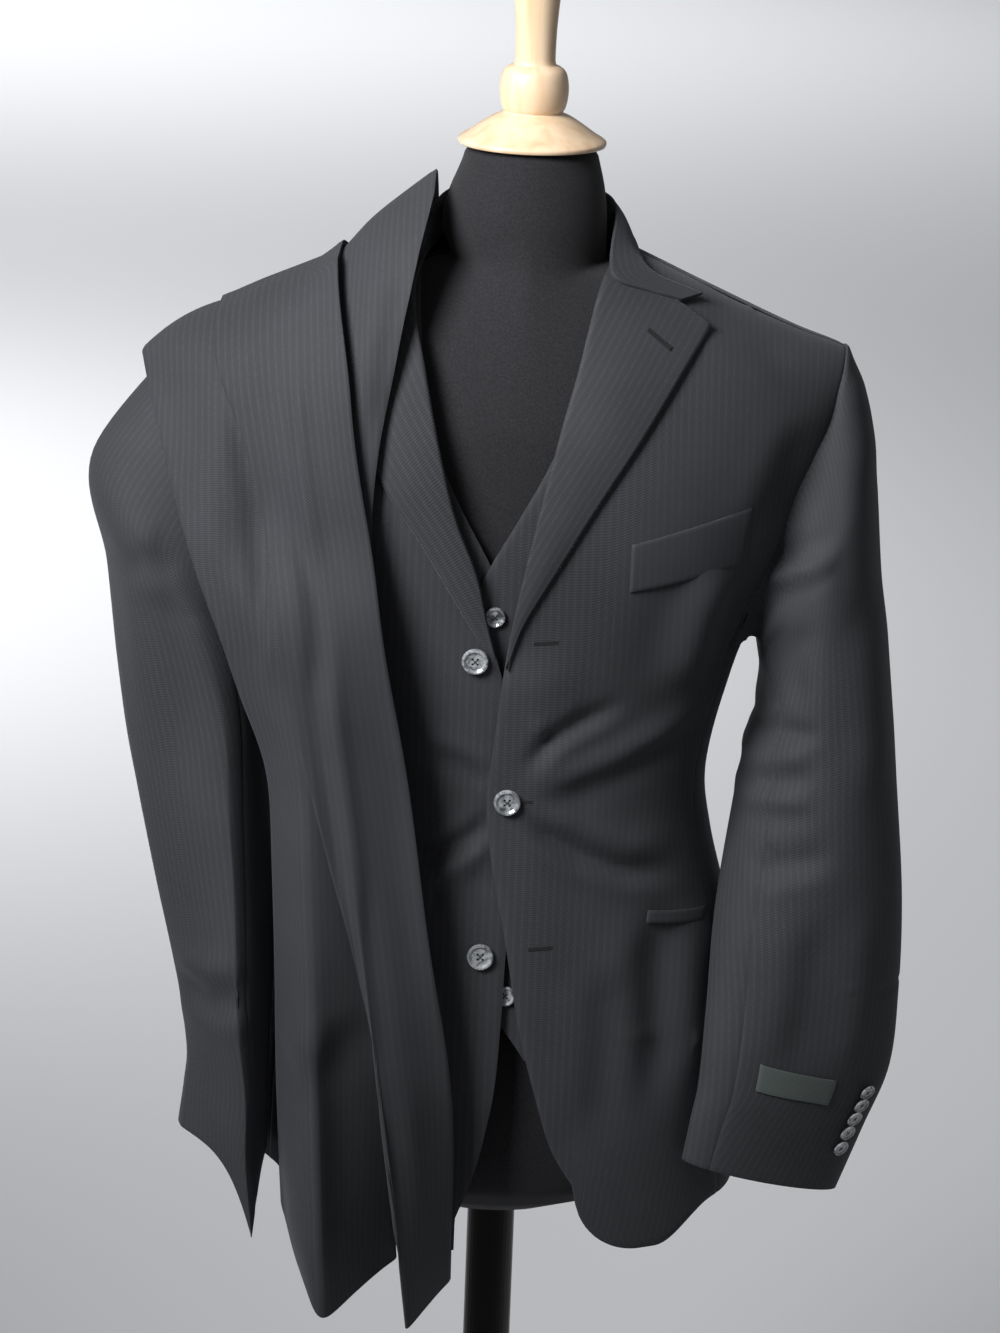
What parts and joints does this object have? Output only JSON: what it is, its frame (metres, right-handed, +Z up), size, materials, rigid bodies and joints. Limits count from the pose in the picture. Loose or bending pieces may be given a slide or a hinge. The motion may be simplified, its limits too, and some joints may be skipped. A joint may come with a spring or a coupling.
{
  "type": "three-piece suit on a dress form",
  "caption": "Dark self-striped worsted jacket, waistcoat and trousers on a dress form; the trousers hang folded over one shoulder, on a pole and round base.",
  "frame": {"origin": "centre of the base's underside, on the floor", "axes": "+Z up the pole; -Y the way the suit's front faces; +X towards the wearer's left"},
  "size_m": [0.6217, 0.412, 1.7],
  "materials": {
    "charcoal_worsted": "matte worsted wool with a faint woven self-stripe",
    "smoked_horn": "polished smoked horn",
    "woven_label": "plain woven tape",
    "black_jersey": "matte knitted jersey",
    "lacquered_wood": "clear satin lacquer",
    "black_gloss": "gloss black-brown paint"
  },
  "bodies": {
    "root": {"jacket_front_left": "charcoal_worsted", "jacket_front_right": "charcoal_worsted", "jacket_side_left": "charcoal_worsted", "jacket_side_right": "charcoal_worsted", "jacket_back_left": "charcoal_worsted", "jacket_back_right": "charcoal_worsted", "lapel_left": "charcoal_worsted", "lapel_right": "charcoal_worsted", "collar": "charcoal_worsted", "collar_stand": "charcoal_worsted", "chest_welt_left": "charcoal_worsted", "hip_pocket_jetting_left": "charcoal_worsted", "sleeve_top_left": "charcoal_worsted", "sleeve_under_left": "charcoal_worsted", "sleeve_top_right": "charcoal_worsted", "sleeve_under_right": "charcoal_worsted", "waistcoat_front_left": "charcoal_worsted", "waistcoat_front_right": "charcoal_worsted", "waistcoat_back": "charcoal_worsted", "trouser_front_left": "charcoal_worsted", "trouser_back_left": "charcoal_worsted", "trouser_front_right": "charcoal_worsted", "trouser_back_right": "charcoal_worsted", "waistband_front_left": "charcoal_worsted", "waistband_back_left": "charcoal_worsted", "waistband_front_right": "charcoal_worsted", "waistband_back_right": "charcoal_worsted", "front_button_top": "smoked_horn", "front_button_middle": "smoked_horn", "front_button_bottom": "smoked_horn", "waistcoat_button_1": "smoked_horn", "waistcoat_button_2": "smoked_horn", "waistcoat_button_3": "smoked_horn", "waistcoat_button_4": "smoked_horn", "waistcoat_button_5": "smoked_horn", "cuff_button_left_1": "smoked_horn", "cuff_button_left_2": "smoked_horn", "cuff_button_left_3": "smoked_horn", "cuff_button_left_4": "smoked_horn", "cuff_button_left_5": "smoked_horn", "cuff_button_right_1": "smoked_horn", "cuff_button_right_2": "smoked_horn", "cuff_button_right_3": "smoked_horn", "cuff_button_right_4": "smoked_horn", "cuff_button_right_5": "smoked_horn", "cuff_label": "woven_label", "form_torso": "black_jersey", "neck_block": "lacquered_wood", "pole": "black_gloss", "pole_sleeve": "black_gloss", "base": "black_gloss"}
  },
  "joints": []
}
